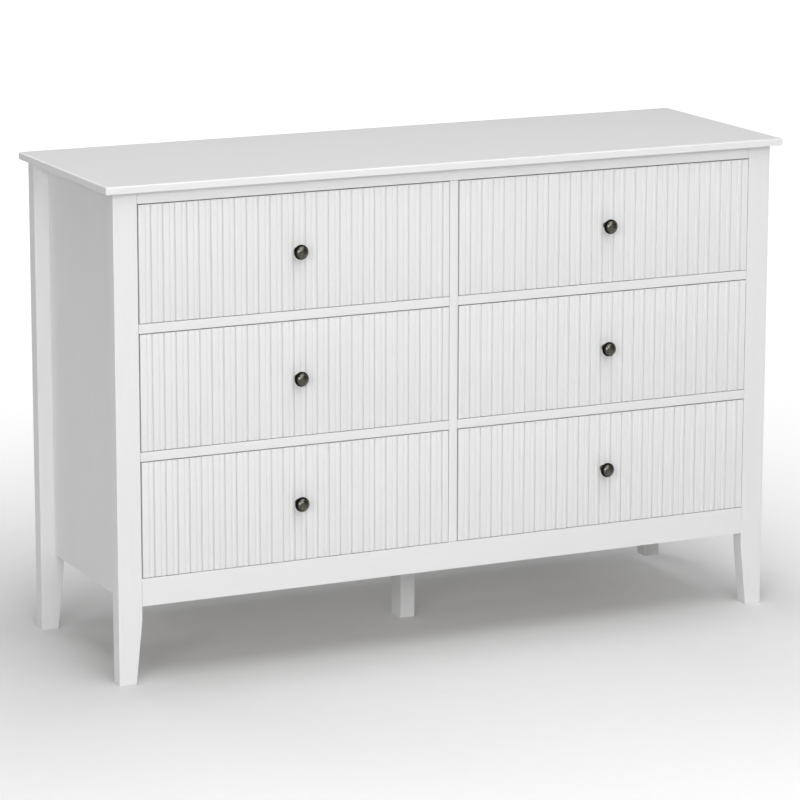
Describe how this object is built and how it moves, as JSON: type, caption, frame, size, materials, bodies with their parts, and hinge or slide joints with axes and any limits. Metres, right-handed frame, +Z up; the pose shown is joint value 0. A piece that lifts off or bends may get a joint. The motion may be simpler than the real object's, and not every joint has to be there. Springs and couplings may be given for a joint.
{
  "type": "dresser with drawers",
  "caption": "Low white dresser: two columns of inset slatted-front drawers with small round knobs, on tapered corner legs and a centre support leg.",
  "frame": {"origin": "on the floor, under the middle of the bounding box (knobs included)", "axes": "+Z up; the drawers face -Y and open towards -Y; +X is to the right of a person who faces the drawers"},
  "size_m": [1.2, 0.4052, 0.8],
  "materials": {
    "white_paint": "satin white paint on board",
    "pale_wood": "pale unpainted softwood, sanded",
    "hardboard": "thin fibreboard with a white-grey face",
    "bronze": "dark antique bronze, satin"
  },
  "bodies": {
    "cabinet": {"top_board": "white_paint", "leg_front_left": "white_paint", "leg_rear_left": "white_paint", "leg_front_right": "white_paint", "leg_rear_right": "white_paint", "side_panel_left": "white_paint", "side_panel_right": "white_paint", "front_top_rail": "white_paint", "front_apron": "white_paint", "rail_left_under_upper_drawer": "white_paint", "rail_left_under_middle_drawer": "white_paint", "rail_right_under_upper_drawer": "white_paint", "rail_right_under_middle_drawer": "white_paint", "centre_partition": "white_paint", "back_panel": "hardboard", "rear_bottom_rail": "white_paint", "rear_top_rail": "white_paint", "centre_leg": "white_paint", "guide_upper_left": "pale_wood", "guide_middle_left": "pale_wood", "guide_lower_left": "pale_wood", "guide_upper_right": "pale_wood", "guide_middle_right": "pale_wood", "guide_lower_right": "pale_wood"},
    "drawer_upper_left": {"drawer_upper_left_front": "white_paint", "drawer_upper_left_side_left": "pale_wood", "drawer_upper_left_side_right": "pale_wood", "drawer_upper_left_back": "pale_wood", "drawer_upper_left_bottom": "hardboard", "drawer_upper_left_knob": "bronze"},
    "drawer_middle_left": {"drawer_middle_left_front": "white_paint", "drawer_middle_left_side_left": "pale_wood", "drawer_middle_left_side_right": "pale_wood", "drawer_middle_left_back": "pale_wood", "drawer_middle_left_bottom": "hardboard", "drawer_middle_left_knob": "bronze"},
    "drawer_lower_left": {"drawer_lower_left_front": "white_paint", "drawer_lower_left_side_left": "pale_wood", "drawer_lower_left_side_right": "pale_wood", "drawer_lower_left_back": "pale_wood", "drawer_lower_left_bottom": "hardboard", "drawer_lower_left_knob": "bronze"},
    "drawer_upper_right": {"drawer_upper_right_front": "white_paint", "drawer_upper_right_side_left": "pale_wood", "drawer_upper_right_side_right": "pale_wood", "drawer_upper_right_back": "pale_wood", "drawer_upper_right_bottom": "hardboard", "drawer_upper_right_knob": "bronze"},
    "drawer_middle_right": {"drawer_middle_right_front": "white_paint", "drawer_middle_right_side_left": "pale_wood", "drawer_middle_right_side_right": "pale_wood", "drawer_middle_right_back": "pale_wood", "drawer_middle_right_bottom": "hardboard", "drawer_middle_right_knob": "bronze"},
    "drawer_lower_right": {"drawer_lower_right_front": "white_paint", "drawer_lower_right_side_left": "pale_wood", "drawer_lower_right_side_right": "pale_wood", "drawer_lower_right_back": "pale_wood", "drawer_lower_right_bottom": "hardboard", "drawer_lower_right_knob": "bronze"}
  },
  "joints": [
    {"name": "drawer_upper_left_slide", "type": "slide", "parent": "cabinet", "child": "drawer_upper_left", "axis": [0, -1, 0], "range_m": [0, 0.25]},
    {"name": "drawer_middle_left_slide", "type": "slide", "parent": "cabinet", "child": "drawer_middle_left", "axis": [0, -1, 0], "range_m": [0, 0.25]},
    {"name": "drawer_lower_left_slide", "type": "slide", "parent": "cabinet", "child": "drawer_lower_left", "axis": [0, -1, 0], "range_m": [0, 0.25]},
    {"name": "drawer_upper_right_slide", "type": "slide", "parent": "cabinet", "child": "drawer_upper_right", "axis": [0, -1, 0], "range_m": [0, 0.25]},
    {"name": "drawer_middle_right_slide", "type": "slide", "parent": "cabinet", "child": "drawer_middle_right", "axis": [0, -1, 0], "range_m": [0, 0.25]},
    {"name": "drawer_lower_right_slide", "type": "slide", "parent": "cabinet", "child": "drawer_lower_right", "axis": [0, -1, 0], "range_m": [0, 0.25]}
  ]
}
